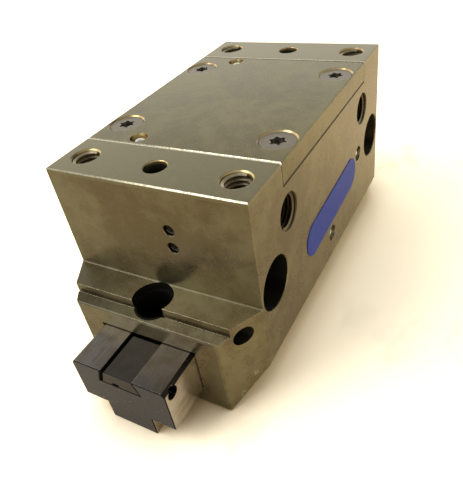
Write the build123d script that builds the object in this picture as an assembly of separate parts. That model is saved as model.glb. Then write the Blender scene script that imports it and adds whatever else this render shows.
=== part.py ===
from build123d import *
from math import cos, radians, tan
import os

# Two-jaw parallel gripper. X is the width, with the labelled side at +X. Y is the length, along which
# the jaws open. Z is up, with zero at the mounting face. The jaws are modelled open. Millimetres.

# Housing, from its three outlines
block_length = 80.0
block_width = 48.0
housing_height = 49.0
nose_reach = 10.0
nose_angle = 30.0
bevel_height = 7.0
nose_height = 23.5
ledge_reach = 7.0
step_height = 2.0
step_groove_width = 0.4
lip_fall = 0.5
ledge_corner_radius = 0.4
edge_chamfer = 0.3
lip_chamfer = 0.15

# Cover plate and its screws
cover_length = 52.4
cover_thickness = 5.0
cover_gap = 0.04
cover_end_chamfer = 0.5
cover_screw_inset_x = 4.6
cover_screw_inset_y = 8.7
screw_shank_radius = 2.0
screw_head_radius = 3.9
screw_head_sink = 0.3
screw_length = 14.0
screw_gap = 0.1
lobe_radius = 0.42
lobe_circle = 1.5
socket_core_radius = 1.45
socket_depth = 1.5

# Cylinder, piston and rod
cylinder_wall = 5.0
piston_thickness = 7.0
stop_gap = 0.2
floor_thickness = 5.0
piston_gap = 0.15
ring_gap = 0.05
seal_width = 2.6
seal_depth = 1.8
guide_width = 1.6
guide_depth = 0.9
rim_land = 0.8
rod_radius = 5.0
spigot_radius = 3.5
spigot_length = 4.5
piston_screw_radius = 2.5
piston_screw_length = 14.0
piston_screw_head = 4.6
spigot_seal_section = 1.0
bush_wall = 1.5
bush_length = 2.2
rod_seal_wall = 1.8
rod_seal_length = 2.0
cover_seal_land = 1.2
cover_seal_section = 1.6
fit_gap = 0.05

# Jaw and its guide
wedge_angle = 45.0
jaw_overhang = 11.0
jaw_flange_width = 24.1
jaw_flange_height = 11.4
jaw_neck_width = 12.0
jaw_proud = 0.3
jaw_chamfer = 0.8
jaw_end_chamfer = 0.2
slot_mouth_chamfer = 0.2
slot_lip_thickness = 4.8
slide_gap = 0.1
closed_gap = 0.3

# Wedge hook and its slanted T-rails
hook_thickness = 11.8
hook_height = 10.8
hook_floor_gap = 0.5
hook_top_gap = 0.3
wedge_gap = 0.15
groove_lip = 2.0
rail_neck_width = 4.0
rail_head_width = 8.0
rail_head_depth = 2.3

# Switching cam, its groove and its clamp screw
cam_length = 10.6
cam_travel = 8.0
cam_groove_width = 8.2
cam_groove_depth = 3.6
cam_groove_angle = 18.4
cam_sink = 0.4
cam_gap = 0.2
cam_side_gap = 0.9
cam_slit_width = 1.8
cam_slit_height = 0.7
cam_slit_place = -0.9
cam_screw_radius = 1.45
cam_screw_inset = 2.4
cam_screw_drop = 1.9
cam_screw_length = 4.5
cam_screw_tip = 0.6
cam_socket_width = 1.5

# Holes that a user fastens to
corner_thread_inset_x = 5.7
corner_thread_inset_y = 6.5
corner_thread_radius = 3.0
corner_thread_depth = 12.0
dowel_radius = 2.5
dowel_depth = 8.0
side_bore_inset = 6.6
side_bore_drop = 23.9
side_bore_radius = 3.3
side_head_radius = 6.0
side_head_depth = 6.5
port_y = 24.7
port_drop = 11.9
port_radius = 4.0
port_depth = 10.0
port_mouth = 0.25
thread_mouth = 0.35
end_hole_x = 5.0
end_hole_drops = (10.1, 14.5)
end_hole_radius = 1.25
end_hole_depth = 5.0
finger_thread_radius = 2.5
finger_thread_inset = 10.0
finger_thread_pitch = 20.0
finger_dowel_radius = 2.0
finger_dowel_pitch = 8.0
finger_hole_depth = 8.0

# Sensor bore over each jaw, and its clamp thread
sensor_bore_radius = 4.1
sensor_mouth_radius = 4.6
sensor_mouth_depth = 2.0
sensor_clamp_radius = 2.1
sensor_clamp_drop = 3.7

# Pressed balls and label
ball_radius = 2.1
ball_sink = 0.35
cover_ball_x = -11.5
cover_ball_y = 23.3
side_ball_places = ((0.0, 13.7), (21.7, 25.3))
label_length = 35.6
label_height = 8.8
label_thickness = 0.15
label_place = (1.0, 22.0)
label_tilt = 3.5

# Worked out from the driving sizes. The stroke is what the stack of cover, piston, floor and hook leaves
half_block = block_length / 2
half_width = block_width / 2
half_nose = half_block + nose_reach
nose_inset = nose_reach * tan(radians(nose_angle))
ledge_depth = housing_height - nose_height
cover_screw_x = half_width - cover_screw_inset_x
cover_screw_y = cover_length / 2 - cover_screw_inset_y
corner_thread_x = half_width - corner_thread_inset_x
corner_thread_y = half_block - corner_thread_inset_y
side_bore_y = half_block - side_bore_inset
cylinder_radius = half_width - cylinder_wall
cover_seal_inner = cylinder_radius + cover_seal_land
stack_height = cover_thickness + piston_thickness + floor_thickness + hook_height
stack_gaps = 2 * stop_gap + hook_top_gap + hook_floor_gap
piston_stroke = (housing_height - stack_height - stack_gaps) / 2
jaw_stroke = piston_stroke * tan(radians(wedge_angle))
cylinder_floor = -(cover_thickness + piston_thickness + piston_stroke + 2 * stop_gap)
chamber_top = cylinder_floor - floor_thickness
piston_bottom = cylinder_floor + stop_gap
piston_top = piston_bottom + piston_thickness
slot_floor = -housing_height + slot_lip_thickness
slot_top = slot_floor + jaw_flange_height + 2 * slide_gap
jaw_end = half_nose + jaw_overhang
jaw_bottom = -housing_height - jaw_proud
jaw_shoulder = slot_floor + slide_gap
jaw_top = jaw_shoulder + jaw_flange_height
hook_bottom = -housing_height + hook_floor_gap
hook_top = chamber_top - hook_top_gap - piston_stroke
slant = 1 / cos(radians(wedge_angle))
rail_head_start = wedge_gap + groove_lip + wedge_gap
rail_head_end = rail_head_start + rail_head_depth
sensor_y = half_block + sensor_mouth_radius
over = 1.0


def wedge_face(height, offset):
    """Distance from the middle, at a height, to a plane that is offset square to the jaw's slanted end."""
    rise = (height - jaw_bottom) * tan(radians(wedge_angle))
    return jaw_stroke + closed_gap + rise + offset * slant


def drilled(radius, depth, mouth=0.0, pointed=True):
    """Blind hole down from the local origin, with a chamfered mouth and a drill point."""
    tool = Pos(0, 0, (over - depth) / 2) * Cylinder(radius, depth + over)
    if mouth:
        tool += Cone(radius, radius + 2 * mouth, 2 * mouth)
    if pointed:
        point = radius * tan(radians(31))
        tool += Pos(0, 0, -depth - point / 2) * Cone(0.02, radius, point)
    return tool


def on_side(y, z):
    """Place on the labelled side, facing out along +X."""
    return Plane(origin=(half_width, y, z), x_dir=(0, 1, 0), z_dir=(1, 0, 0))


def in_corners(x, y):
    """The four places at plus and minus x and y."""
    return [Pos(sx * x, sy * y, 0) for sx in (-1, 1) for sy in (-1, 1)]


def along_x(points, width):
    """Solid with the outline given as (y, z) points, centred on X."""
    outline = Plane.YZ * make_face(Polyline(*points, close=True))
    return extrude(outline, amount=width / 2, both=True)


def along_y(points, length):
    """Solid with the outline given as (x, z) points, centred on Y."""
    outline = Plane.XZ * make_face(Polyline(*points, close=True))
    return extrude(outline, amount=length / 2, both=True)


def side_outline():
    """The housing seen from the side: block, ledge, step, groove and lip at both ends."""
    step_y = half_block + ledge_reach
    half = [
        (half_block, 0),
        (half_block, -ledge_depth),
        (step_y, -ledge_depth),
        (step_y, -ledge_depth - step_height - lip_fall),
        (step_y + step_groove_width, -ledge_depth - step_height - lip_fall),
        (step_y + step_groove_width, -ledge_depth - step_height),
        (half_nose, -ledge_depth - step_height - lip_fall),
        (half_nose, -housing_height),
    ]
    other = [(-y, z) for y, z in reversed(half)]
    face = make_face(Polyline(*half, *other, close=True))
    corners = face.vertices().filter_by(lambda v: abs(abs(v.X) - half_block) < 0.01 and v.Y < -over)
    face = fillet(corners, ledge_corner_radius)
    broken = face.vertices().filter_by(lambda v: abs(v.X) > half_nose - 0.01 or abs(v.Y) < 0.01)
    face = chamfer(broken, edge_chamfer)
    groove_y = step_y + step_groove_width
    lips = face.vertices().filter_by(lambda v: abs(abs(v.X) - groove_y) < 0.01).group_by(Axis.Y)[-1]
    return Plane.YZ * chamfer(lips, lip_chamfer)


def housing_blank():
    """Block that three outlines have in common, each with its corners broken."""
    side = extrude(side_outline(), amount=half_width, both=True)
    plan = make_face(Polyline(
        (half_width, half_block), (half_width - nose_inset, half_nose),
        (-half_width + nose_inset, half_nose), (-half_width, half_block),
        (-half_width, -half_block), (-half_width + nose_inset, -half_nose),
        (half_width - nose_inset, -half_nose), (half_width, -half_block), close=True))
    plan = chamfer(plan.vertices(), edge_chamfer)
    end = make_face(Polyline(
        (half_width, 0), (half_width, -housing_height + bevel_height),
        (half_width - nose_inset, -housing_height), (-half_width + nose_inset, -housing_height),
        (-half_width, -housing_height + bevel_height), (-half_width, 0), close=True))
    end = Plane.XZ * chamfer(end.vertices(), edge_chamfer)
    return side & extrude(plan, amount=-housing_height) & extrude(end, amount=half_nose, both=True)


def guide_tool():
    """T-slot for both jaws, right through, and the chamber that the hook rises into."""
    width = jaw_flange_width + 2 * slide_gap
    neck = jaw_neck_width + 2 * slide_gap
    length = 2 * half_nose + 2 * over
    flange = Pos(0, 0, (slot_top + slot_floor) / 2) * Box(width, length, slot_top - slot_floor)
    neck_height = slot_floor + housing_height + over
    slot = Pos(0, 0, slot_floor - neck_height / 2) * Box(neck, length, neck_height)
    reach = wedge_face(hook_top, rail_head_end) + hook_top_gap
    chamber = Pos(0, 0, (chamber_top + slot_floor) / 2) * Box(neck, 2 * reach, chamber_top - slot_floor)
    return flange + slot + chamber


def slot_mouths(body):
    """Edges of the T-slot at both nose faces, above its neck."""
    ends = body.edges().filter_by(lambda e: abs(abs(e.center().Y) - half_nose) < 0.01)
    width = jaw_flange_width / 2 + slide_gap + 0.01
    return ends.filter_by(lambda e: abs(e.center().X) < width and slot_floor - 0.01 < e.center().Z < slot_top + 0.01)


def cylinder_tool():
    """Cylinder, seal groove round it, and the stepped bore for the rod, its bush and its seal."""
    depth = -cylinder_floor
    tool = Pos(0, 0, -depth / 2) * Cylinder(cylinder_radius, depth)
    groove = Cylinder(cover_seal_inner + cover_seal_section, cover_seal_section)
    groove -= Cylinder(cover_seal_inner, cover_seal_section)
    tool += Pos(0, 0, -cover_thickness - cover_seal_section / 2) * groove
    middle = (cylinder_floor + chamber_top) / 2
    tool += Pos(0, 0, middle) * Cylinder(rod_radius + ring_gap, floor_thickness + 2 * over)
    seal_room = rod_seal_length + 2 * fit_gap
    tool += Pos(0, 0, cylinder_floor - seal_room / 2) * Cylinder(rod_radius + rod_seal_wall + fit_gap, seal_room)
    tool += Pos(0, 0, chamber_top + bush_length / 2) * Cylinder(rod_radius + bush_wall + fit_gap, bush_length)
    return tool


def sensor_tool():
    """Vertical sensor bore through the ledge to the jaw, and its clamp thread from the labelled side."""
    bore = drilled(sensor_bore_radius, -slot_top - ledge_depth + over, pointed=False)
    bore += drilled(sensor_mouth_radius, sensor_mouth_depth, pointed=False)
    bore = Pos(0, 0, -ledge_depth) * bore
    clamp = Plane(origin=(half_width, 0, -ledge_depth - sensor_clamp_drop), z_dir=(1, 0, 0)) * drilled(
        sensor_clamp_radius, half_width - sensor_bore_radius / 2, pointed=False)
    return bore + clamp


def housing():
    """Machined housing with its cylinder, guides and all drilled holes."""
    body = housing_blank()
    seat = cover_length + 2 * cover_gap
    body -= Pos(0, 0, -(cover_thickness - over) / 2) * Box(block_width + over, seat, cover_thickness + over)
    body -= cylinder_tool()
    body -= guide_tool()
    body = chamfer(slot_mouths(body), slot_mouth_chamfer)
    for place in in_corners(corner_thread_x, corner_thread_y):
        body -= place * drilled(corner_thread_radius, corner_thread_depth, thread_mouth)
    for place in in_corners(cover_screw_x, cover_screw_y):
        body -= place * drilled(screw_shank_radius + fit_gap, screw_length + over)
    for sign in (-1, 1):
        body -= Pos(0, sign * corner_thread_y, 0) * drilled(dowel_radius, dowel_depth, thread_mouth / 2)
        body -= on_side(sign * side_bore_y, -side_bore_drop) * drilled(
            side_bore_radius, block_width + over, pointed=False)
        body -= on_side(sign * side_bore_y, -side_bore_drop) * drilled(
            side_head_radius, side_head_depth, thread_mouth / 2, pointed=False)
        body -= on_side(sign * port_y, -port_drop) * drilled(port_radius, port_depth, port_mouth)
        body -= Pos(0, sign * sensor_y, 0) * sensor_tool()
        for drop in end_hole_drops:
            end = Plane(origin=(-sign * end_hole_x, sign * half_block, -drop), z_dir=(0, sign, 0))
            body -= end * drilled(end_hole_radius, end_hole_depth, thread_mouth / 2)
    for y, rise in side_ball_places:
        body -= on_side(y, rise - housing_height) * drilled(
            ball_radius, ball_sink + 2 * ball_radius, pointed=False)
    return body


def cover():
    """Flat plate let into the top, with countersunk holes and two ball seats."""
    plate = Pos(0, 0, -cover_thickness / 2) * Box(block_width, cover_length, cover_thickness)
    rim = plate.edges().group_by(Axis.Z)[-1]
    plate = chamfer(rim.filter_by(Axis.Y), edge_chamfer)
    rim = plate.edges().group_by(Axis.Z)[-1]
    plate = chamfer(rim.filter_by(Axis.X), cover_end_chamfer)
    mouth = screw_head_radius + screw_head_sink + screw_gap
    for place in in_corners(cover_screw_x, cover_screw_y):
        plate -= place * Pos(0, 0, -mouth / 2) * Cone(0.01, mouth, mouth)
        plate -= place * drilled(screw_shank_radius + screw_gap, cover_thickness + over, pointed=False)
    for sign in (-1, 1):
        seat = drilled(ball_radius, ball_sink + 2 * ball_radius, pointed=False)
        plate -= Pos(cover_ball_x, sign * cover_ball_y, 0) * seat
    return plate


def six_lobe_socket():
    """Six-lobe driver socket, down from the local origin."""
    outline = Circle(socket_core_radius)
    for place in PolarLocations(lobe_circle, 6):
        outline += place * Circle(lobe_radius)
    return extrude(outline, amount=-socket_depth)


def cover_screws():
    """Four countersunk screws with six-lobe sockets."""
    cone = screw_head_radius - screw_shank_radius
    screw = Pos(0, 0, -cone / 2) * Cone(screw_shank_radius, screw_head_radius, cone)
    screw += Pos(0, 0, -screw_length / 2) * Cylinder(screw_shank_radius, screw_length)
    screw -= six_lobe_socket()
    screw = Pos(0, 0, -screw_head_sink) * screw
    return [place * screw for place in in_corners(cover_screw_x, cover_screw_y)]


def cover_seal():
    """Static seal ring in its groove under the cover."""
    middle = cover_seal_inner + cover_seal_section / 2
    radius = cover_seal_section / 2 - fit_gap
    return Pos(0, 0, -cover_thickness - cover_seal_section / 2) * Torus(middle, radius)


def ball():
    """Pressed steel ball, just under the surface at the local origin."""
    return Pos(0, 0, -ball_sink - ball_radius) * Sphere(ball_radius - fit_gap)


def side_label():
    """Long oval sticker on the side."""
    y, rise = label_place
    outline = SlotOverall(label_length, label_height, rotation=label_tilt)
    return on_side(y, rise - housing_height) * extrude(outline, amount=label_thickness)


def rod_sleeve(wall, length):
    """Ring round the rod, centred on the local origin."""
    return Cylinder(rod_radius + wall, length) - Cylinder(rod_radius + ring_gap, length + over)


def piston():
    """Round piston with two rim grooves and a stepped bore for the rod's spigot and the screw."""
    radius = cylinder_radius - piston_gap
    body = Pos(0, 0, (piston_top + piston_bottom) / 2) * Cylinder(radius, piston_thickness)
    body = chamfer(body.edges().filter_by(GeomType.CIRCLE), edge_chamfer)
    body -= Pos(0, 0, seal_height()) * (Cylinder(radius + over, seal_width)
                                        - Cylinder(radius - seal_depth, seal_width))
    body -= Pos(0, 0, guide_height()) * (Cylinder(radius + over, guide_width)
                                         - Cylinder(radius - guide_depth, guide_width))
    body -= Pos(0, 0, piston_bottom + spigot_length / 2) * Cylinder(spigot_radius + fit_gap, spigot_length)
    body -= Pos(0, 0, piston_bottom) * Cylinder(piston_screw_radius + fit_gap, 4 * piston_thickness)
    sink = piston_screw_head + screw_gap
    body -= Pos(0, 0, piston_top - sink / 2) * Cone(0.01, sink, sink)
    body -= Pos(0, 0, piston_bottom) * Cylinder(spigot_radius + spigot_seal_section, 2 * spigot_seal_section)
    return body


def seal_height():
    """Middle of the seal groove, above the lower land."""
    return piston_bottom + 1.5 * rim_land + seal_width / 2


def guide_height():
    """Middle of the guide band's groove, under the upper land."""
    return piston_top - rim_land - guide_width / 2


def rim_ring(height, width, depth):
    """Ring that fills a groove in the piston's rim and runs on the cylinder wall."""
    inner = cylinder_radius - piston_gap - depth + fit_gap
    ring = Cylinder(cylinder_radius - ring_gap, width - 2 * fit_gap) - Cylinder(inner, width)
    return Pos(0, 0, height) * ring


def piston_screw():
    """Countersunk screw from the top of the piston into the rod."""
    cone = piston_screw_head - piston_screw_radius
    screw = Pos(0, 0, -cone / 2) * Cone(piston_screw_radius, piston_screw_head, cone)
    screw += Pos(0, 0, -piston_screw_length / 2) * Cylinder(piston_screw_radius, piston_screw_length)
    screw -= six_lobe_socket()
    return Pos(0, 0, piston_top - screw_gap / 2) * screw


def spigot_seal():
    """Static ring in the piston's foot, round the spigot and on the rod's shoulder."""
    radius = spigot_seal_section / 2 - fit_gap / 2
    return Pos(0, 0, piston_bottom + radius + fit_gap / 2) * Torus(spigot_radius + spigot_seal_section / 2, radius)


def slanted(start, end, top, bottom):
    """Outline of both slanted bands between two offsets from the jaw's end, as (y, z) points."""
    right = [
        (wedge_face(top, start), top), (wedge_face(top, end), top),
        (wedge_face(bottom, end), bottom), (wedge_face(bottom, start), bottom)]
    left = [(-y, z) for y, z in right]
    return right, left


def wedge_hook():
    """Rod and wedge in one piece. Two slanted T-rails push the jaws out and pull them in."""
    top, bottom = hook_top, hook_bottom
    face = wedge_face(top, -wedge_gap)
    foot = wedge_face(bottom, -wedge_gap)
    body = along_x([(face, top), (foot, bottom), (-foot, bottom), (-face, top)], hook_thickness)
    for outline in slanted(-wedge_gap - over, rail_head_end, top, bottom):
        body += along_x(outline, rail_neck_width)
    for outline in slanted(rail_head_start, rail_head_end, top, bottom):
        body += along_x(outline, rail_head_width)
    rod_length = piston_bottom - hook_top
    body += Pos(0, 0, hook_top + rod_length / 2) * Cylinder(rod_radius, rod_length)
    body += Pos(0, 0, piston_bottom + (spigot_length - fit_gap) / 2) * Cylinder(
        spigot_radius, spigot_length - fit_gap)
    thread = piston_screw_length + over
    body -= Pos(0, 0, piston_top) * drilled(piston_screw_radius + fit_gap, thread)
    return body


def cam_half_width(depth):
    """Half the width of the cam's dovetail groove at a depth under the jaw's top."""
    return cam_groove_width / 2 + depth * tan(radians(cam_groove_angle))


def jaw():
    """Far base jaw: T-section bar with a slanted end and its groove, cam groove and finger holes."""
    half_flange = jaw_flange_width / 2
    half_neck = jaw_neck_width / 2
    section = [
        (-half_flange + jaw_chamfer, jaw_top), (half_flange - jaw_chamfer, jaw_top),
        (half_flange, jaw_top - jaw_chamfer), (half_flange, jaw_shoulder),
        (half_neck, jaw_shoulder), (half_neck, jaw_bottom),
        (-half_neck, jaw_bottom), (-half_neck, jaw_shoulder),
        (-half_flange, jaw_shoulder), (-half_flange, jaw_top - jaw_chamfer)]
    bar = Pos(0, jaw_end / 2, 0) * along_y(section, jaw_end)
    bar = chamfer(bar.edges().group_by(Axis.Y)[-1], jaw_end_chamfer)
    wide = jaw_flange_width + 2 * over
    top, bottom = jaw_top + over, jaw_bottom - over
    bar -= along_x([(-over, top), (wedge_face(top, 0), top), (wedge_face(bottom, 0), bottom),
                    (-over, bottom)], wide)
    neck = slanted(-over, groove_lip + over, top, bottom)[0]
    bar -= along_x(neck, rail_neck_width + 2 * wedge_gap)
    head = slanted(groove_lip, rail_head_end + wedge_gap, top, bottom)[0]
    bar -= along_x(head, rail_head_width + 2 * wedge_gap)
    depth = cam_groove_depth
    groove = [
        (-cam_half_width(-over), jaw_top + over), (cam_half_width(-over), jaw_top + over),
        (cam_half_width(depth), jaw_top - depth), (-cam_half_width(depth), jaw_top - depth)]
    groove_length = cam_length + cam_travel + over
    bar -= Pos(0, jaw_end - groove_length / 2 + over / 2, 0) * along_y(groove, groove_length + over)
    bar -= cam_screw_place() * drilled(cam_screw_radius + fit_gap, half_flange, pointed=False)
    middle = jaw_end - finger_thread_inset - finger_thread_pitch / 2
    for sign in (-1, 1):
        face = Plane(origin=(0, middle + sign * finger_thread_pitch / 2, jaw_bottom), z_dir=(0, 0, -1))
        bar -= face * drilled(finger_thread_radius, finger_hole_depth, thread_mouth)
        face = Plane(origin=(0, middle + sign * finger_dowel_pitch / 2, jaw_bottom), z_dir=(0, 0, -1))
        bar -= face * drilled(finger_dowel_radius, finger_hole_depth, thread_mouth / 2)
    return bar


def cam_screw_place():
    """Where the cam's clamp screw enters the jaw's side."""
    y = jaw_end - cam_screw_inset
    return Plane(origin=(jaw_flange_width / 2, y, jaw_top - cam_screw_drop), z_dir=(1, 0, 0))


def switch_cam():
    """Dovetail cam flush with the far jaw's end, against one flank of its groove, slit underneath."""
    high, low = cam_sink, cam_groove_depth - cam_gap
    left = cam_side_gap
    section = [
        (-cam_half_width(high) + left, jaw_top - high), (cam_half_width(high) - cam_gap, jaw_top - high),
        (cam_half_width(low) - cam_gap, jaw_top - low), (-cam_half_width(low) + left, jaw_top - low)]
    cam = Pos(0, jaw_end - cam_length / 2, 0) * along_y(section, cam_length)
    slit = Box(cam_slit_width, cam_length + over, 2 * cam_slit_height)
    return cam - Pos(cam_slit_place, jaw_end - cam_length / 2, jaw_top - low) * slit


def cam_screw():
    """Grub screw in the far jaw's side, with a cone point just off the cam."""
    flank = cam_half_width(cam_screw_drop + cam_screw_tip) - jaw_flange_width / 2
    start = flank + cam_screw_length
    shoulder = flank + cam_screw_radius
    body = Pos(0, 0, (start + shoulder) / 2) * Cylinder(cam_screw_radius, start - shoulder)
    body += Pos(0, 0, (shoulder + flank) / 2) * Cone(cam_screw_tip, cam_screw_radius, shoulder - flank)
    socket = extrude(RegularPolygon(cam_socket_width / 2, 6, major_radius=False), amount=-cam_socket_width)
    body -= Pos(0, 0, start) * socket
    return cam_screw_place() * body


def other_end(shape):
    """The same piece at the near end."""
    return mirror(shape, about=Plane.XZ)


def build_nodes():
    """Every sub-part by its node name."""
    far_jaw, far_cam, far_screw = jaw(), switch_cam(), cam_screw()
    cover_places = [Pos(cover_ball_x, sign * cover_ball_y, 0) for sign in (-1, 1)]
    seal_place = Pos(0, 0, cylinder_floor - fit_gap - rod_seal_length / 2)
    bush_place = Pos(0, 0, chamber_top + bush_length / 2)
    return {
        "housing": housing(),
        "cover": cover(),
        "cover_screws": cover_screws(),
        "cover_seal": cover_seal(),
        "cover_plugs": [place * ball() for place in cover_places],
        "side_plugs": [on_side(y, rise - housing_height) * ball() for y, rise in side_ball_places],
        "side_label": side_label(),
        "rod_seal": seal_place * rod_sleeve(rod_seal_wall, rod_seal_length),
        "rod_bush": bush_place * rod_sleeve(bush_wall, bush_length),
        "piston": piston(),
        "piston_seal": rim_ring(seal_height(), seal_width, seal_depth),
        "piston_guide_ring": rim_ring(guide_height(), guide_width, guide_depth),
        "piston_screw": piston_screw(),
        "spigot_seal": spigot_seal(),
        "wedge_hook": wedge_hook(),
        "jaw_near": other_end(far_jaw),
        "jaw_far": far_jaw,
        "switch_cam_near": other_end(far_cam),
        "switch_cam_far": far_cam,
        "cam_screw_near": other_end(far_screw),
        "cam_screw_far": far_screw,
    }


def write_parts():
    """Write one file for each node."""
    os.makedirs("parts", exist_ok=True)
    for name, shape in build_nodes().items():
        solids = shape if isinstance(shape, list) else [shape]
        whole = Compound(children=[solid for piece in solids for solid in piece.solids()])
        export_step(whole, f"parts/{name}.step")


write_parts()
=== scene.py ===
import bpy
from math import pi, radians
from mathutils import Matrix, Vector


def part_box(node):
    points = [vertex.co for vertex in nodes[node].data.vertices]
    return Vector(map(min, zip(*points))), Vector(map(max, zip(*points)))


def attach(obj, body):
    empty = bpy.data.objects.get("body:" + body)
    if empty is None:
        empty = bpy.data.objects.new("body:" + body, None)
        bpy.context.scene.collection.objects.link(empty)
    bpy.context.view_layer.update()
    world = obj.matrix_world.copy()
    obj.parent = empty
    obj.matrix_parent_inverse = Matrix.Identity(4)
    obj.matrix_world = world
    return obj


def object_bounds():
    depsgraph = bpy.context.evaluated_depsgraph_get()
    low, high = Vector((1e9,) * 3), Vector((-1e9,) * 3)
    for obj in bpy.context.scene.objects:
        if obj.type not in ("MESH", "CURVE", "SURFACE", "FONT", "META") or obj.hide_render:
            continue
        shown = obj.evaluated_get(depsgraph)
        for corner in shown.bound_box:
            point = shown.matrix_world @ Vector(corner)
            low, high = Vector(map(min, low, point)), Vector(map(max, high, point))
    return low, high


# A two-jaw parallel gripper. The sections follow it as it is put together. Metres.
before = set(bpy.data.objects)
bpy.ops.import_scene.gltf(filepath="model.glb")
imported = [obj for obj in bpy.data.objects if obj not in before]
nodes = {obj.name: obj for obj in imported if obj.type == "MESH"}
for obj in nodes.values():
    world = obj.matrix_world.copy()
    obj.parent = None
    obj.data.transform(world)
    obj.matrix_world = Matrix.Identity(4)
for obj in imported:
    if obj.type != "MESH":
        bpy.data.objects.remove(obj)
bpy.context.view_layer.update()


# Housing: one block of aluminium, milled to its three outlines, then blasted and hard-anodised to a satin
# olive grey. The bath leaves it slightly cloudy, handling wears its edges a little, and painted highlights
# brighten the chamfers across its top and the rims of the cover's seat.
class Flow:
    """One output of a node, in a material or a geometry tree. Arithmetic on it adds Math nodes."""

    def __init__(self, tree, socket=None):
        self.tree = tree
        self.socket = socket

    def node(self, kind, settings=None, sockets=None, output=0):
        """Add a node: its settings first, then the values or links of its sockets."""
        added = self.tree.nodes.new(kind)
        for name, value in (settings or {}).items():
            setattr(added, name, value)
        for name, value in (sockets or {}).items():
            if isinstance(value, Flow):
                self.tree.links.new(value.socket, added.inputs[name])
            else:
                added.inputs[name].default_value = value
        return Flow(self.tree, added.outputs[output])

    def math(self, operation, *values):
        return self.node("ShaderNodeMath", {"operation": operation}, dict(enumerate(values)))

    def __add__(self, other):
        return self.math("ADD", self, other)

    def __sub__(self, other):
        return self.math("SUBTRACT", self, other)

    def __rsub__(self, other):
        return self.math("SUBTRACT", other, self)

    def __neg__(self):
        return self.math("SUBTRACT", 0.0, self)

    def __mul__(self, other):
        return self.math("MULTIPLY", self, other)

    def __truediv__(self, other):
        return self.math("DIVIDE", self, other)

    def __rtruediv__(self, other):
        return self.math("DIVIDE", other, self)

    def __lt__(self, other):
        return self.math("LESS_THAN", self, other)

    def __gt__(self, other):
        return self.math("GREATER_THAN", self, other)

    def __abs__(self):
        return self.math("ABSOLUTE", self)

    __radd__ = __add__
    __rmul__ = __mul__


def new_finish(name, constants=None):
    """A material to build on: its shader, whose constants are set here, and a flow into its tree."""
    material = bpy.data.materials.new(name)
    material.use_nodes = True
    shader = material.node_tree.nodes["Principled BSDF"]
    for socket, value in (constants or {}).items():
        shader.inputs[socket].default_value = value
    return material, shader, Flow(material.node_tree)


def feed(shader, socket, flow):
    """Link a flow to one of the shader's sockets."""
    flow.tree.links.new(flow.socket, shader.inputs[socket])


def vector(operation, *values, output=0):
    """Arithmetic on points and directions, the first of them a flow. A length or a distance is output 1."""
    return values[0].node("ShaderNodeVectorMath", {"operation": operation}, dict(enumerate(values)), output)


def own_place(flow):
    """The point on the piece, in its own coordinates."""
    return flow.node("ShaderNodeTexCoord", output=3)


def axes(place):
    """The X, Y and Z of a point or a direction."""
    split = place.node("ShaderNodeSeparateXYZ", None, {0: place}).socket.node
    return [Flow(place.tree, output) for output in split.outputs]


def outward(flow):
    """The X, Y and Z of the surface's direction."""
    return axes(flow.node("ShaderNodeNewGeometry", output=1))


def stretched(place, scale):
    """The point, with each direction drawn out or pressed together."""
    return place.node("ShaderNodeMapping", None, {"Vector": place, "Scale": scale})


def speckle(place, scale, detail=2.0, roughness=0.5):
    """Soft noise from 0 to 1, with about scale patches to the metre."""
    return place.node("ShaderNodeTexNoise", None, {
        "Vector": place, "Scale": scale, "Detail": detail, "Roughness": roughness})


def between(value, low, high):
    """0 under low, 1 over high, and smooth from one to the other."""
    return value.node("ShaderNodeMapRange", {"interpolation_type": "SMOOTHSTEP"}, {
        "Value": value, "From Min": low, "From Max": high})


def within(value, low, high):
    """1 between two values, and 0 elsewhere."""
    return (value > low) * (value < high)


def most(first, *others):
    """The largest of some values."""
    for other in others:
        first = first.math("MAXIMUM", first, other)
    return first


def tint(share, first, second):
    """The first colour where the share is 0, the second where it is 1."""
    return share.node("ShaderNodeMix", {"data_type": "RGBA"}, {0: share, 6: first, 7: second}, output=2)


def dimmed(colour, share):
    """The colour, darker where the share is under 1."""
    return colour.node("ShaderNodeVectorMath", {"operation": "SCALE"}, {0: colour, "Scale": share})


def rounded(flow, radius):
    """The surface's direction with its edges rounded off, and how near an edge is, from 0 to 1."""
    soft = flow.node("ShaderNodeBevel", {"samples": 6}, {"Radius": radius})
    flat = flow.node("ShaderNodeNewGeometry", output=1)
    return soft, between(1 - vector("DOT_PRODUCT", soft, flat, output=1), 0.01, 0.16)


def embossed(soft, height, depth):
    """The direction of a surface with small heights in it, at most depth deep."""
    return height.node("ShaderNodeBump", None, {"Height": height, "Distance": depth, "Normal": soft})


def in_holes(place, middles, radius, axis):
    """1 within the radius of a line along X, Y or Z through one of the middles, and 0 elsewhere. The point is
    folded onto the positive sides first, so each middle stands for its mirror images too."""
    across = [float(letter != axis) for letter in "XYZ"]
    folded = vector("ABSOLUTE", place)
    holes = []
    for middle in middles:
        away = vector("MULTIPLY", vector("SUBTRACT", folded, middle), across)
        holes.append(vector("LENGTH", away, output=1) < radius)
    return most(*holes)


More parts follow.
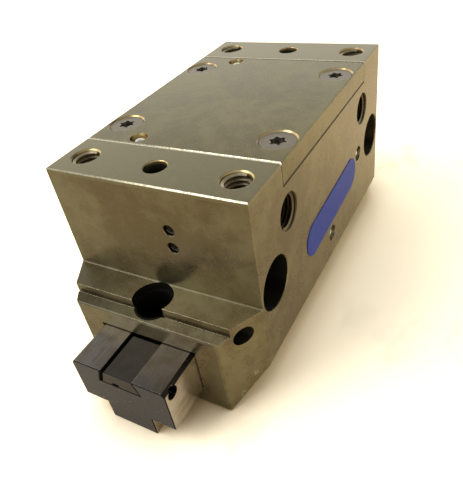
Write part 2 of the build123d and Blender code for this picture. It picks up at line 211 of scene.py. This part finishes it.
def anodised(name, olive, brown, highlight_and_wear_colour, inside, cone_places):
    """Hard-anodised aluminium: an olive tone with brown smudges, painted highlights on the top's chamfers and
    painted light and shade on some faces. What inside makes of a point is the share of it that is left black:
    painted shade on the walls of holes, and dirt in joints. What the last argument makes of it says where the
    mouths' cones are, which get a painted yellow highlight where they face the front and painted shade where
    they face away."""
    material, shader, flow = new_finish(name, {"Metallic": 0.74, "Specular IOR Level": 0.4})
    place = own_place(flow)
    side, along, up = axes(place)
    across, back, rise = outward(flow)
    across = abs(across)
    top = up > -0.001
    chamfer = between(rise, 0.5, 0.6) * (1 - between(rise, 0.8, 0.9))
    rightward = between(side, -0.012, 0.016)
    soft, edge = rounded(flow, 0.00020)

    # The bath's tone: clouds of brown and olive, olive on the strips beside the cover, and a fine grain.
    clouds = speckle(place, 55, 6, 0.62) * 0.62 + speckle(place, 240, 4, 0.6) * 0.38
    strips = top * (abs(along) > seat_y)
    smudge = most(between(clouds, 0.40, 0.62), strips * 0.75)
    mottle = speckle(place, 900, 4, 0.65)
    grain = speckle(place, 5200, 3, 0.7)
    bath = dimmed(tint(smudge, brown, olive), 0.52 + smudge * 0.18 + mottle * 0.32 + grain * 0.44)

    # Painted light and shade: painted shade darkens the chamfers but for those at the top's right, and the
    # block's ends towards the ledge; the ledge gets painted shade at its left and painted light at its right,
    # and painted light brightens the lower sides.
    dull = chamfer * (0.5 - rightward * top * 0.5)
    end_shade = between(abs(back), 0.9, 0.95) * between(-up, 0.012, 0.025) * (up > -ledge - 0.0003) * 0.16
    ledge_light_and_shade = between(rise, 0.9, 0.95) * (1 - top) * (between(side, -0.014, 0.010) * 0.75 - 0.25)
    low_side_light = between(across, 0.6, 0.8) * between(-up, 0.015, 0.035) * 0.18
    bath = dimmed(bath, 1 - dull - end_shade + ledge_light_and_shade + low_side_light)

    # Painted highlights and wear: the chamfers across the top and the rims of the cover's seat are painted
    # bright as highlights, the chamfers the more so towards the right, and wear lightens other edges a
    # little. The mouths' cones get a painted yellow highlight where they face the front, and painted shade
    # where they face away.
    bright = top * (1 - between(across, 0.3, 0.6)) * (0.12 + rightward * 0.88)
    patchy = 0.35 + between(speckle(place, 2200, 3), 0.35, 0.55) * 0.65
    brightened_edges = most(chamfer * bright, edge * 0.35, rims(place)) * patchy
    bath = tint(most(brightened_edges, scuffs(place) * 0.5), bath, highlight_and_wear_colour)
    cone = tint(between(back, -0.5, 0.1), (0.76, 0.56, 0.25, 1), (0.16, 0.11, 0.05, 1))
    bath = tint(cone_places(place) * 0.8, bath, cone)

    # Painted shade on the walls of holes, and dirt in joints, darken the colour; the same mask roughens it.
    shade_and_joint_dirt = inside(place)
    feed(shader, "Base Color", dimmed(bath, 1 - shade_and_joint_dirt))
    feed(shader, "Roughness", 0.19 + smudge * 0.06 + mottle * 0.12 + shade_and_joint_dirt * 0.4)
    feed(shader, "Normal", embossed(soft, grain + mottle * 0.5, 0.000009))
    return material


def dress(node, material):
    """Give a CAD node its finish."""
    slots = nodes[node].data.materials
    slots.clear()
    slots.append(material)


# Where the housing's holes and steps are. A drop is a distance below the top, and a depth reaches a little
# past the drill's point.
housing_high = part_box("housing")[1]
nose_reach, ledge = 0.010, 0.0255
side_x, end_y = housing_high.x, housing_high.y - nose_reach
corner_x, corner_y, corner_radius, corner_depth = 0.0183, 0.0335, 0.0030, 0.0135
dowel_radius = 0.0025
port_y, port_drop, port_radius = 0.0247, 0.0119, 0.0040
bolt_y, bolt_drop, bolt_head_radius = 0.0334, 0.0239, 0.0060
sensor_y, sensor_radius, jaw_top = 0.0446, 0.0046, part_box("jaw_far")[1].z
clamp_drop, clamp_radius = 0.0292, 0.0021
end_hole_x, end_hole_drops, end_hole_radius, end_hole_depth = 0.0050, (0.0101, 0.0145), 0.00125, 0.006
seat_y, seat_depth = 0.0262, 0.0050
knocks = ((0.0200, -0.0471, -0.0456), (0.0221, -0.0435, -0.0418))

# Small distances: a wall is looked for a skin outside its hole's radius, a seam is the width of the dirt
# line, a lip is how far in a wall starts to darken, and just_under is what counts as below a surface.
skin, seam, lip, just_under = 0.00005, 0.00013, 0.0002, 0.00003
rim_width, mouth_width, mouth_depth = 0.00036, 0.0005, 0.0008
port_mouth_width, port_mouth_depth = 0.0006, 0.0010


def gloom(depth):
    """How much painted shade darkens a hole's wall at a depth: 0 at the mouth, and nearly 1 some way down."""
    return (depth > lip) * (0.62 + between(depth, 0.0, 0.0035) * 0.35)


def rims(place):
    """1 on the two rims of the cover's seat, a third of a millimetre wide, which are painted bright as
    highlights.
    """
    along, up = axes(place)[1:]
    return within(abs(along), seat_y + skin, seat_y + rim_width) * (up > -0.0003)


def scuffs(place):
    """1 where the near nose's right bevel has been knocked: a few bare flecks about two points."""
    near = [1 - between(vector("DISTANCE", place, knock, output=1), 0.0004, 0.0013) for knock in knocks]
    return most(*near) * between(speckle(stretched(place, (1, 1, 0.35)), 2600, 3), 0.52, 0.60)


def in_housing(place):
    """How black the housing is: painted shade on the walls of its holes, lighter in the far bolt hole, and
    dirt along the cover's joint in its sides.
    """
    side, along, up = axes(place)
    away = abs(along)
    under_top = gloom(-up) * (up > -corner_depth)
    under_ledge = within(up, jaw_top, -ledge - skin) * 0.97
    under_side = gloom(side_x - side) * (side > 0.0)
    port_mouths = within(side, side_x - port_mouth_depth, side_x - just_under) * 0.55
    between_sides = (abs(side) < side_x - lip) * (0.92 - between(along, 0.0, 0.01) * 0.24)
    to_sensor = within(side, 0.0, side_x - lip) * 0.92
    in_ends = (side * along < 0.0) * within(away, end_y - end_hole_depth, end_y - 0.0001) * 0.94
    joint = within(up, -seat_depth - 3 * seam, -seat_depth + skin) * (away < seat_y + seam) * 0.85
    joint_ends = within(away, seat_y, seat_y + seam) * within(up, -seat_depth, -0.0004) * 0.75
    return most(
        in_holes(place, [(corner_x, corner_y, 0)], corner_radius + skin, "Z") * under_top,
        in_holes(place, [(0, corner_y, 0)], dowel_radius + skin, "Z") * under_top,
        in_holes(place, [(0, sensor_y, 0)], sensor_radius + skin, "Z") * under_ledge,
        in_holes(place, [(0, port_y, port_drop)], port_radius + skin, "X") * under_side,
        in_holes(place, [(0, port_y, port_drop)], port_radius + port_mouth_width, "X") * port_mouths,
        in_holes(place, [(0, bolt_y, bolt_drop)], bolt_head_radius + skin, "X") * between_sides,
        in_holes(place, [(0, sensor_y, clamp_drop)], clamp_radius + skin, "X") * to_sensor,
        in_holes(place, [(end_hole_x, 0, drop) for drop in end_hole_drops], end_hole_radius, "Y") * in_ends,
        joint, joint_ends)


def top_mouths(place):
    """1 on the chamfered mouths of the corner threads and the dowel holes."""
    mouths = in_holes(place, [(corner_x, corner_y, 0)], corner_radius + mouth_width, "Z")
    mouths = mouths + in_holes(place, [(0, corner_y, 0)], dowel_radius + mouth_width, "Z")
    return mouths * within(axes(place)[2], -mouth_depth, -just_under)


dress("housing", anodised(
    "anodised_housing", (0.196, 0.175, 0.104, 1), (0.166, 0.132, 0.074, 1), (0.72, 0.66, 0.50, 1), in_housing,
    top_mouths))


# Threads in the housing: tapped after the block is anodised, so their flanks are bare metal. It is bright in
# the four M6 threads on top, and darkened by painted shade in the others: M8 for air in the labelled side,
# small ones for the sensors' clamp screws, and M2.5 in the end faces.
def ridge_tree():
    """Winds a thread's ridge down into each hole, from a point at each mouth that knows which way is out."""
    tree = bpy.data.node_groups.new("thread_ridges", "GeometryNodeTree")
    face = tree.interface
    face.new_socket("Mouths", in_out="INPUT", socket_type="NodeSocketGeometry")
    for name in ("Radius", "Depth", "Ridge", "Pitch"):
        face.new_socket(name, in_out="INPUT", socket_type="NodeSocketFloat")
    face.new_socket("Finish", in_out="INPUT", socket_type="NodeSocketMaterial")
    face.new_socket("Threads", in_out="OUTPUT", socket_type="NodeSocketGeometry")
    flow = Flow(tree)
    given = flow.node("NodeGroupInput").socket.node
    mouths, radius, depth, ridge, pitch, finish = [Flow(tree, given.outputs[place]) for place in range(6)]

    # The ridge's middle runs a little nearer to the wall than half its height, so its foot sinks into it.
    middle = radius - ridge * 0.46
    helix = flow.node("GeometryNodeCurveSpiral", None, {
        "Resolution": 40, "Rotations": depth / pitch, "Start Radius": middle, "End Radius": middle,
        "Height": depth})
    helix = flow.node("GeometryNodeSetCurveNormal", {"mode": "Z_UP"}, {"Curve": helix})
    flank = flow.node("GeometryNodeCurvePrimitiveQuadrilateral", {"mode": "TRAPEZOID"}, {
        "Height": ridge, "Bottom Width": pitch * 0.86, "Top Width": pitch * 0.24, "Offset": 0.0})
    flank = flow.node("GeometryNodeTransform", None, {"Geometry": flank, "Rotation": (0, 0, radians(-90))})
    wound = flow.node("GeometryNodeCurveToMesh", None, {
        "Curve": helix, "Profile Curve": flank, "Fill Caps": True})
    drop = flow.node("ShaderNodeCombineXYZ", None, {"Z": -depth - pitch * 0.75})
    sunk = flow.node("GeometryNodeTransform", None, {"Geometry": wound, "Translation": drop})
    out = flow.node("GeometryNodeInputNamedAttribute", {"data_type": "FLOAT_VECTOR"}, {"Name": "out"})
    turned_out = flow.node("FunctionNodeAlignRotationToVector", {"axis": "Z"}, {"Vector": out})
    placed = flow.node("GeometryNodeInstanceOnPoints", None, {
        "Points": mouths, "Instance": sunk, "Rotation": turned_out})
    real = flow.node("GeometryNodeRealizeInstances", None, {"Geometry": placed})
    dressed = flow.node("GeometryNodeSetMaterial", None, {"Geometry": real, "Material": finish})
    tree.links.new(dressed.socket, tree.nodes.new("NodeGroupOutput").inputs[0])
    return tree


def at_mouths(name, mouths):
    """One point at each mouth's place, with the direction in which the hole opens."""
    mesh = bpy.data.meshes.new(name)
    mesh.from_pydata([place for place, out in mouths], [], [])
    directions = mesh.attributes.new("out", "FLOAT_VECTOR", "POINT")
    for point, (place, out) in zip(directions.data, mouths):
        point.vector = out
    return mesh


def threaded(name, mouths, finish, radius, depth, ridge, pitch):
    """A new piece: the ridges that the geometry tree winds into some holes, as one mesh."""
    sizes = {"Radius": radius, "Depth": depth, "Ridge": ridge, "Pitch": pitch, "Finish": finish}
    piece = bpy.data.objects.new(name, at_mouths(name, mouths))
    bpy.context.scene.collection.objects.link(piece)
    maker = piece.modifiers.new(name, "NODES")
    maker.node_group = thread_maker
    for item in thread_maker.interface.items_tree:
        if item.in_out == "INPUT" and item.name in sizes:
            maker[item.identifier] = sizes[item.name]
    shape = bpy.data.meshes.new_from_object(piece.evaluated_get(bpy.context.evaluated_depsgraph_get()))
    piece.modifiers.remove(maker)
    piece.data = shape
    shape.set_sharp_from_angle(angle=radians(35))
    return piece


def tapped(name, dark, light):
    """Bare cut metal on a thread's flanks, with the tap's fine marks."""
    material, shader, flow = new_finish(name, {"Metallic": 0.9})
    place = own_place(flow)
    marks = speckle(stretched(place, (1, 1, 3)), 2600, 3)
    feed(shader, "Base Color", tint(marks, dark, light))
    feed(shader, "Roughness", 0.24 + marks * 0.2)
    return material


UP, DOWN, RIGHT = (0, 0, 1), (0, 0, -1), (1, 0, 0)
SIDES = (-1, 1)
clamp_thread_x, end_thread_y = 0.0170, end_y - 0.0006
thread_finish = tapped("tapped_aluminium", (0.24, 0.19, 0.11, 1), (0.82, 0.72, 0.50, 1))
# Two darker copies of the same cut metal, with painted shade in their colours, for threads that lie in shade.
shaded_finish = tapped("shaded_thread", (0.020, 0.016, 0.010, 1), (0.075, 0.062, 0.042, 1))
shade_dark_finish = tapped("shade_dark_thread", (0.05, 0.038, 0.022, 1), (0.17, 0.135, 0.08, 1))
thread_maker = ridge_tree()

corner_threads = threaded(
    "corner_threads", [((x * corner_x, y * corner_y, 0), UP) for x in SIDES for y in SIDES],
    thread_finish, radius=corner_radius, depth=0.0108, ridge=0.00054, pitch=0.001)
port_threads = threaded(
    "port_threads", [((side_x, y * port_y, -port_drop), RIGHT) for y in SIDES],
    shade_dark_finish, radius=port_radius, depth=0.0082, ridge=0.00050, pitch=0.0009)
clamp_threads = threaded(
    "clamp_threads", [((clamp_thread_x, y * sensor_y, -clamp_drop), RIGHT) for y in SIDES],
    shade_dark_finish, radius=clamp_radius, depth=0.0110, ridge=0.0003, pitch=0.0008)
end_threads = threaded(
    "end_threads", [
        ((-y * end_hole_x, y * end_thread_y, -drop), (0, y, 0)) for y in SIDES for drop in end_hole_drops],
    shaded_finish, radius=end_hole_radius, depth=0.0038, ridge=0.0002, pitch=0.00045)
for piece in (corner_threads, port_threads, clamp_threads, end_threads):
    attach(piece, "housing")


# Rod guide in the housing's floor: a pressed bush of sintered bronze, and over it a lip seal of black rubber.
# Both are closed in once the piston is fitted.
def bronze(name):
    """Sintered bronze with its fine pores and stains of lubricant."""
    material, shader, flow = new_finish(name, {"Metallic": 0.9})
    place = own_place(flow)
    pores = between(speckle(place, 5200, 3), 0.36, 0.5)
    stain = speckle(place, 260, 3)
    feed(shader, "Base Color", tint(pores * 0.7 + stain * 0.3, (0.16, 0.09, 0.04, 1), (0.52, 0.36, 0.18, 1)))
    feed(shader, "Roughness", 0.5 - pores * 0.15)
    feed(shader, "Normal", embossed(rounded(flow, 0.0001)[0], pores, 0.00002))
    return material


def rubber(name):
    """Black moulded rubber, dull, with a faint bloom."""
    material, shader, flow = new_finish(name, {"Specular IOR Level": 0.35})
    place = own_place(flow)
    bloom = speckle(place, 700, 4)
    feed(shader, "Base Color", tint(bloom, (0.012, 0.012, 0.012, 1), (0.035, 0.034, 0.032, 1)))
    feed(shader, "Roughness", 0.5 + bloom * 0.2)
    feed(shader, "Normal", embossed(rounded(flow, 0.0001)[0], speckle(place, 3800, 2), 0.00001))
    return material


seal_finish = rubber("seal_rubber")
dress("rod_bush", bronze("bush_bronze"))
dress("rod_seal", seal_finish)


# Piston: turned from aluminium bar. Its rim holds a rubber seal and a plastic guide band, a rubber ring seals
# it on the rod's spigot, and one countersunk screw from above holds it on the rod.
def from_axis(place):
    """The distance from the upright axis, in metres."""
    return vector("LENGTH", vector("MULTIPLY", place, (1, 1, 0)), output=1)


def turned(name):
    """Turned aluminium: the tool's fine rings on the flats and round the rim."""
    material, shader, flow = new_finish(name, {"Metallic": 0.95})
    place = own_place(flow)
    feed_step = 0.00012
    turns = (from_axis(place) + axes(place)[2]) * (2 * pi / feed_step)
    rings = turns.math("SINE", turns)
    stain = speckle(place, 320, 4)
    feed(shader, "Base Color", tint(stain, (0.50, 0.50, 0.48, 1), (0.66, 0.66, 0.64, 1)))
    feed(shader, "Roughness", 0.28 + stain * 0.12)
    feed(shader, "Normal", embossed(rounded(flow, 0.00015)[0], rings, 0.000006))
    return material


def band_plastic(name):
    """Cut strip of bearing plastic, pale brown, faintly scored along its run."""
    material, shader, flow = new_finish(name, {"Specular IOR Level": 0.45})
    place = own_place(flow)
    score = speckle(stretched(place, (0.1, 0.1, 1)), 5200, 3)
    feed(shader, "Base Color", tint(score, (0.36, 0.28, 0.18, 1), (0.52, 0.43, 0.30, 1)))
    feed(shader, "Roughness", 0.42 + score * 0.16)
    return material


dress("piston", turned("piston_alloy"))
dress("piston_seal", seal_finish)
dress("piston_guide_ring", band_plastic("guide_plastic"))
dress("spigot_seal", seal_finish)


# Wedge hook: rod and wedge from one piece of hardened steel, its slanted T-rails ground. The grinding lines
# run down the slants, and the edges shine where the jaws slide on them.
def ground_steel(name):
    """Hardened and ground steel, with grinding lines, a few pits and edges that wear has left bright."""
    material, shader, flow = new_finish(name, {"Metallic": 0.92})
    place = own_place(flow)
    shifted = place.node("ShaderNodeMapping", None, {"Vector": place, "Location": (3.0, 3.0, 0)})
    lines = speckle(stretched(shifted, (5200, 600, 600)), 1.0, 4, 0.7)
    heat = speckle(shifted, 130, 3)
    pits = between(speckle(shifted, 2400, 2), 0.70, 0.78)
    soft, edge = rounded(flow, 0.00016)
    brightened_edges = edge * between(speckle(place, 1500, 3), 0.35, 0.6)
    steel = tint(lines * 0.6 + heat * 0.5, (0.30, 0.29, 0.28, 1), (0.48, 0.47, 0.45, 1))
    steel = tint(pits * 0.5, steel, (0.5, 0.48, 0.45, 1))
    feed(shader, "Base Color", tint(brightened_edges * 0.6, steel, (0.62, 0.59, 0.54, 1)))
    feed(shader, "Roughness", 0.22 + lines * 0.16 - brightened_edges * 0.1)
    feed(shader, "Normal", embossed(soft, lines, 0.000012))
    return material


dress("wedge_hook", ground_steel("hook_steel"))


# Screws: countersunk six-lobe screws of zinc-plated steel, four in the cover and one in the piston. The heads
# are turned, so they carry fine rings, and their bright rims show the driver's wear.
def plated(name, ring_x, ring_y):
    """Plated screw heads with turned rings, about four axes at plus and minus x and y, and a painted
    highlight in the middle of each socket's floor."""
    material, shader, flow = new_finish(name, {"Metallic": 0.85})
    place = own_place(flow)
    across = from_axis(vector("SUBTRACT", vector("ABSOLUTE", place), (ring_x, ring_y, 0)))
    rings = speckle(across.node("ShaderNodeCombineXYZ", None, {"X": across}), 5200, 2)
    zinc = speckle(place, 1500, 4)
    soft, edge = rounded(flow, 0.00012)
    plating = tint(rings * 0.5 + zinc * 0.5, (0.150, 0.130, 0.105, 1), (0.30, 0.265, 0.215, 1))
    # A painted highlight on the middle of each socket's floor.
    tip = (1 - between(across, 0.0005, 0.0009)) * (axes(place)[2] < -0.0010)
    plating = tint(tip, plating, (0.90, 0.84, 0.72, 1))
    feed(shader, "Base Color", tint(edge * 0.7, plating, (0.72, 0.69, 0.62, 1)))
    feed(shader, "Roughness", 0.30 + zinc * 0.16)
    feed(shader, "Normal", embossed(soft, rings, 0.000012))
    return material


screw_x, screw_y = 0.0194, 0.0175
dress("cover_screws", plated("screw_steel", screw_x, screw_y))
dress("piston_screw", plated("piston_screw_steel", 0.0, 0.0))


# Cover: flat plate of the same aluminium, let in flush across the top over the cylinder. Dirt fills the joint
# round it, and the cones of its screw holes and ball holes get a painted yellow highlight where they face the
# front and painted shade where they face away. A rubber ring in the housing seals it.
def along_joint(place):
    """How black the cover is: along its lower and end edges in the sides, where dirt fills the joint."""
    along, up = axes(place)[1:]
    foot = up < -seat_depth + 1.5 * seam
    ends = (abs(along) > seat_y - seam) * (up < -0.0006)
    return most(foot, ends) * 0.75


def screw_seats(place):
    """1 in the countersinks of the screws and the holes of the balls."""
    seats = in_holes(place, [(screw_x, screw_y, 0)], screw_seat_radius, "Z")
    seats = seats + in_holes(place, [(ball_x, ball_y, 0)], ball_hole_radius, "Z")
    return seats * (axes(place)[2] < -just_under)


screw_seat_radius = 0.0044
ball_x, ball_y, ball_hole_radius = 0.0115, 0.0233, 0.0023
dress("cover", anodised(
    "anodised_cover", (0.174, 0.150, 0.073, 1), (0.144, 0.118, 0.058, 1), (0.84, 0.78, 0.60, 1), along_joint,
    screw_seats))
dress("cover_seal", seal_finish)


# Plugs: polished bearing balls of hardened steel, two in the cover and two in the labelled side. Each is
# pressed into the mouth of a drilled air way to close it.
def polished(name):
    """Bearing steel with a mirror polish and a few fine scratches from pressing."""
    material, shader, flow = new_finish(name, {"Metallic": 1.0})
    place = own_place(flow)
    scratch = between(speckle(stretched(place, (1, 0.2, 1)), 6500, 3), 0.56, 0.66)
    feed(shader, "Base Color", tint(scratch, (0.88, 0.92, 0.95, 1), (0.60, 0.60, 0.58, 1)))
    feed(shader, "Roughness", 0.3 + scratch * 0.3)
    return material


ball_finish = polished("ball_steel")
dress("cover_plugs", ball_finish)
dress("side_plugs", ball_finish)


# Label: oval sticker of blue printed film under a thin clear coat, left blank here. Its adhesive back holds
# it on the housing's right side.
def film(name):
    """Blue printed film: even ink, a clear coat with small scuffs and a slight orange peel."""
    material, shader, flow = new_finish(name, {"Coat Roughness": 0.22, "Specular IOR Level": 0.1})
    place = own_place(flow)
    ink = speckle(place, 420, 4)
    scuff = between(speckle(stretched(place, (1, 0.15, 1)), 2600, 3), 0.58, 0.72)
    blue = tint(ink, (0.036, 0.072, 0.480, 1), (0.050, 0.098, 0.560, 1))
    feed(shader, "Base Color", tint(scuff * 0.35, blue, (0.16, 0.19, 0.42, 1)))
    feed(shader, "Roughness", 0.5 + scuff * 0.25)
    feed(shader, "Coat Weight", 0.12 - scuff * 0.08)
    feed(shader, "Normal", embossed(rounded(flow, 0.00005)[0], speckle(place, 1500, 2), 0.000012))
    return material


dress("side_label", film("label_film"))


# Jaws: T-section bars of hardened tool steel, ground all over, that slide in the housing's T-slot. Their
# undersides carry M5 threads and dowel holes for the fingers.
def hardened(name):
    """Hardened steel: bright and streaked where it was ground, darkened on top by painted shade that deepens
    towards
    +X, dark with scale on the end, nearly black on the unground chamfers, the black standing partly for a
    painted dark reflection, and nearly black in the groove that the switching cam slides in, with painted
    shade and dirt."""
    material, shader, flow = new_finish(name, {"Metallic": 0.95})
    place = own_place(flow)
    sideways, height = axes(place)[::2]
    across, along, up = [abs(part) for part in outward(flow)]
    slanting = most(
        between(across, 0.5, 0.55) * (1 - between(across, 0.9, 0.95)),
        between(along, 0.5, 0.55) * (1 - between(along, 0.9, 0.95)))
    scale = most(slanting, between(along, 0.5, 0.6))
    top_shade = between(up, 0.9, 0.95)
    deep = jaw_high.z - height
    groove = abs(sideways) - deep * groove_slope < groove_half_width + 5 * skin
    groove = groove * within(deep, 2 * skin, groove_depth + 5 * skin)
    lines = speckle(stretched(place, (2600, 150, 2600)), 1.0, 2, 0.6)
    heat = speckle(place, 210, 4, 0.6)
    flecks = between(speckle(place, 1500, 2), 0.72, 0.77)
    soft, edge = rounded(flow, 0.00014)
    ground = tint(between(lines * 0.4 + heat * 0.6, 0.3, 0.7), (0.48, 0.39, 0.30, 1), (0.76, 0.72, 0.70, 1))
    # Painted shade darkens the top faces, the more so towards +X.
    ground = dimmed(ground, 1 - top_shade * (0.62 + between(sideways, -0.008, 0.008) * 0.11))
    dark = tint(speckle(place, 900, 4), (0.046, 0.048, 0.064, 1), (0.088, 0.090, 0.116, 1))
    # The chamfers are nearly black: left unground, and darkened further as a painted dark reflection.
    steel = tint(slanting, tint(scale, ground, dark), (0.016, 0.013, 0.011, 1))
    steel = tint(flecks * 0.5, steel, (0.75, 0.72, 0.66, 1))
    brightened_edges = edge * between(speckle(place, 1500, 3), 0.54, 0.7)
    steel = tint(brightened_edges * 0.3, steel, (0.60, 0.56, 0.50, 1))
    # Painted shade and dirt darken the groove that the cam slides in.
    feed(shader, "Base Color", dimmed(steel, 1 - groove * 0.93))
    feed(shader, "Roughness", 0.17 + lines * 0.12 + scale * 0.16 + groove * 0.4)
    feed(shader, "Normal", embossed(soft, lines, 0.0000015))
    return material


jaw_low, jaw_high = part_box("jaw_far")
groove_depth, groove_half_width, groove_slope = 0.0036, 0.0041, 0.333
finger_thread_insets = (0.010, 0.030)
jaw_finish = hardened("jaw_steel")
for end, side in (("near", -1), ("far", 1)):
    dress(f"jaw_{end}", jaw_finish)
    # The finger threads take the thread finish darkened by painted shade.
    finger_threads = threaded(
        f"finger_threads_{end}", [
            ((0, side * (jaw_high.y - inset), jaw_low.z), DOWN) for inset in finger_thread_insets],
        shade_dark_finish, radius=0.0025, depth=0.0066, ridge=0.00043, pitch=0.0008)
    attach(finger_threads, f"jaw_{end}")


# Switching cams: blackened steel dovetails that slide in the jaws' tops to set where the sensor sees them.
# A black cone-point grub screw in the jaw's side clamps each.
def blackened(name, streak):
    """Milled and blackened steel, with the cutter's arcs still showing under the black, and painted shade on
    the faces that look along Y.
    """
    material, shader, flow = new_finish(name, {"Metallic": 0.75})
    place = own_place(flow)
    swept = from_axis(vector("SUBTRACT", vector("ABSOLUTE", place), cutter_middle))
    arcs = speckle(swept.node("ShaderNodeCombineXYZ", None, {"X": swept}), 2600, 2, 0.6)
    marks = speckle(stretched(place, streak), 1.0, 3, 0.6) * 0.4 + arcs * 0.6
    stain = speckle(place, 420, 4)
    soft, edge = rounded(flow, 0.00014)
    black = tint(marks * 0.5 + stain * 0.4, (0.030, 0.026, 0.024, 1), (0.120, 0.105, 0.095, 1))
    # Painted shade darkens the faces that look along Y.
    black = dimmed(black, 1 - between(abs(outward(flow)[1]), 0.5, 0.6) * 0.68)
    feed(shader, "Base Color", tint(edge * 0.3, black, (0.12, 0.105, 0.09, 1)))
    feed(shader, "Roughness", 0.26 + stain * 0.12)
    feed(shader, "Normal", embossed(soft, marks, 0.000002))
    return material


cutter_middle = (0.0065, 0.0640, 0)
cam_finish = blackened("cam_steel", (700, 3200, 700))
grub_finish = blackened("grub_screw_steel", (2600, 2600, 2600))
for end in ("near", "far"):
    dress(f"switch_cam_{end}", cam_finish)
    dress(f"cam_screw_{end}", grub_finish)


# Table: a pale cream board that the gripper stands on. The camera and every reflection see it as bright as
# the photograph shows it, and it keeps the soft shadow, which painted shade deepens along the gripper's foot.
def seen_by(flow, *kinds):
    """For each kind of ray, 1 where it is such a ray that sees, and 0 for the rest."""
    rays = flow.node("ShaderNodeLightPath").socket.node
    return [Flow(flow.tree, rays.outputs[f"Is {kind} Ray"]) for kind in kinds]


def table_finish(name):
    """Cream board with faint smears: a plain dull colour for the light that it throws back, and a bright one
    where it is seen."""
    material, shader, flow = new_finish(name)
    tree = material.node_tree
    tree.nodes.remove(shader)
    camera_ray, glossy_ray = seen_by(flow, "Camera", "Glossy")
    place = own_place(flow)
    across, along = axes(place)[:2]
    thrown = flow.node("ShaderNodeBsdfDiffuse", None, {"Color": (0.84, 0.68, 0.42, 1)})

    # What the metal mirrors has painted shade towards the front left and painted light towards the back
    # right.
    behind = between(across * 0.75 + along * 0.66, -0.08, 0.10)
    mirrored = flow.node("ShaderNodeBsdfDiffuse", None, {
        "Color": tint(behind, (0.88, 0.76, 0.54, 1), (1.55, 1.27, 0.86, 1))})

    # What the camera sees is grained and smeared, and painted shade makes it browner within a centimetre of
    # the gripper's foot.
    cream = tint(speckle(place, 30, 3), (1.92, 1.74, 1.42, 1), (2.08, 1.90, 1.56, 1))
    smear = between(speckle(stretched(place, (1, 0.6, 1)), 60, 5, 0.6), 0.54, 0.72)
    cream = dimmed(cream, 1 - smear * 0.16)
    open_sky = flow.node("ShaderNodeAmbientOcclusion", {"samples": 8}, {"Distance": 0.012}, output=1)
    shown = flow.node("ShaderNodeBsdfDiffuse", None, {
        "Color": tint(between(open_sky, 0.1, 0.9), (1.02, 0.78, 0.46, 1), cream)})

    mixed = flow.node("ShaderNodeMixShader", None, {0: glossy_ray, 1: thrown, 2: mirrored})
    mixed = flow.node("ShaderNodeMixShader", None, {0: camera_ray, 1: mixed, 2: shown})
    tree.links.new(mixed.socket, tree.nodes["Material Output"].inputs["Surface"])
    return material


table_reach, table_top = 3.0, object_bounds()[0][2]
corners = [(x * table_reach, y * table_reach, table_top) for x, y in ((-1, -1), (1, -1), (1, 1), (-1, 1))]
table_mesh = bpy.data.meshes.new("table")
table_mesh.from_pydata(corners, [], [(0, 1, 2, 3)])
table = bpy.data.objects.new("table", table_mesh)
bpy.context.scene.collection.objects.link(table)
table_mesh.materials.append(table_finish("table_board"))


# Light: one soft lamp on the front left, and a pale room all round. What the camera, reflections and clear
# layers see of the room is dimmer overhead, and the light that it gives is weaker from the near right.
def soft_lamp(name, place, size, power, colour):
    """Square lamp that faces the gripper."""
    lamp = bpy.data.lights.new(name, "AREA")
    lamp.size = size
    lamp.energy = power
    lamp.color = colour
    holder = bpy.data.objects.new(name, lamp)
    bpy.context.scene.collection.objects.link(holder)
    holder.location = place
    holder.rotation_euler = Vector(place).to_track_quat("Z", "Y").to_euler()


soft_lamp("window", (-0.47, -0.43, 0.56), 0.50, 2.8, (0.97, 0.99, 1.0))
room = bpy.data.worlds.new("room")
room.use_nodes = True
bpy.context.scene.world = room
room_tree = room.node_tree
camera_ray, glossy_ray, clear_ray = seen_by(Flow(room_tree), "Camera", "Glossy", "Transmission")
across, along, height = axes(glossy_ray.node("ShaderNodeTexCoord", output=0))
walls = 1.66 - between(height, 0.1, 0.85) * 1.38
fill = 1.04 - between(across * 0.56 - along * 0.83, -0.3, 0.8) * 0.86
strength = fill + (camera_ray + glossy_ray + clear_ray) * (walls - fill)
backdrop = room_tree.nodes["Background"]
backdrop.inputs["Color"].default_value = (1.0, 0.975, 0.88, 1)
room_tree.links.new(strength.socket, backdrop.inputs["Strength"])


# Camera: close over the near end, as the photograph was taken, looking along the block and down on it, and
# a little out of level. Its lens is told by how many pixels of the picture its focal length takes up.
camera = bpy.data.objects.new("camera", bpy.data.cameras.new("camera"))
bpy.context.scene.collection.objects.link(camera)
focal_pixels, picture_height, sensor_size = 508.9, 480, 36.0
camera.data.sensor_width = sensor_size
camera.data.lens = focal_pixels / picture_height * sensor_size
camera.data.clip_start = 0.005
camera_place = (0.0609, -0.1012, 0.0470)
camera_right = Vector((0.8739, 0.4657, -0.1395))
camera_back = Vector((0.4480, -0.6602, 0.6028))
camera_up = camera_back.cross(camera_right)
camera_axes = Matrix((camera_right, camera_up, camera_back)).transposed()
camera.matrix_world = Matrix.Translation(camera_place) @ camera_axes.to_4x4()
bpy.context.scene.camera = camera
bpy.context.scene.view_settings.view_transform = "Standard"
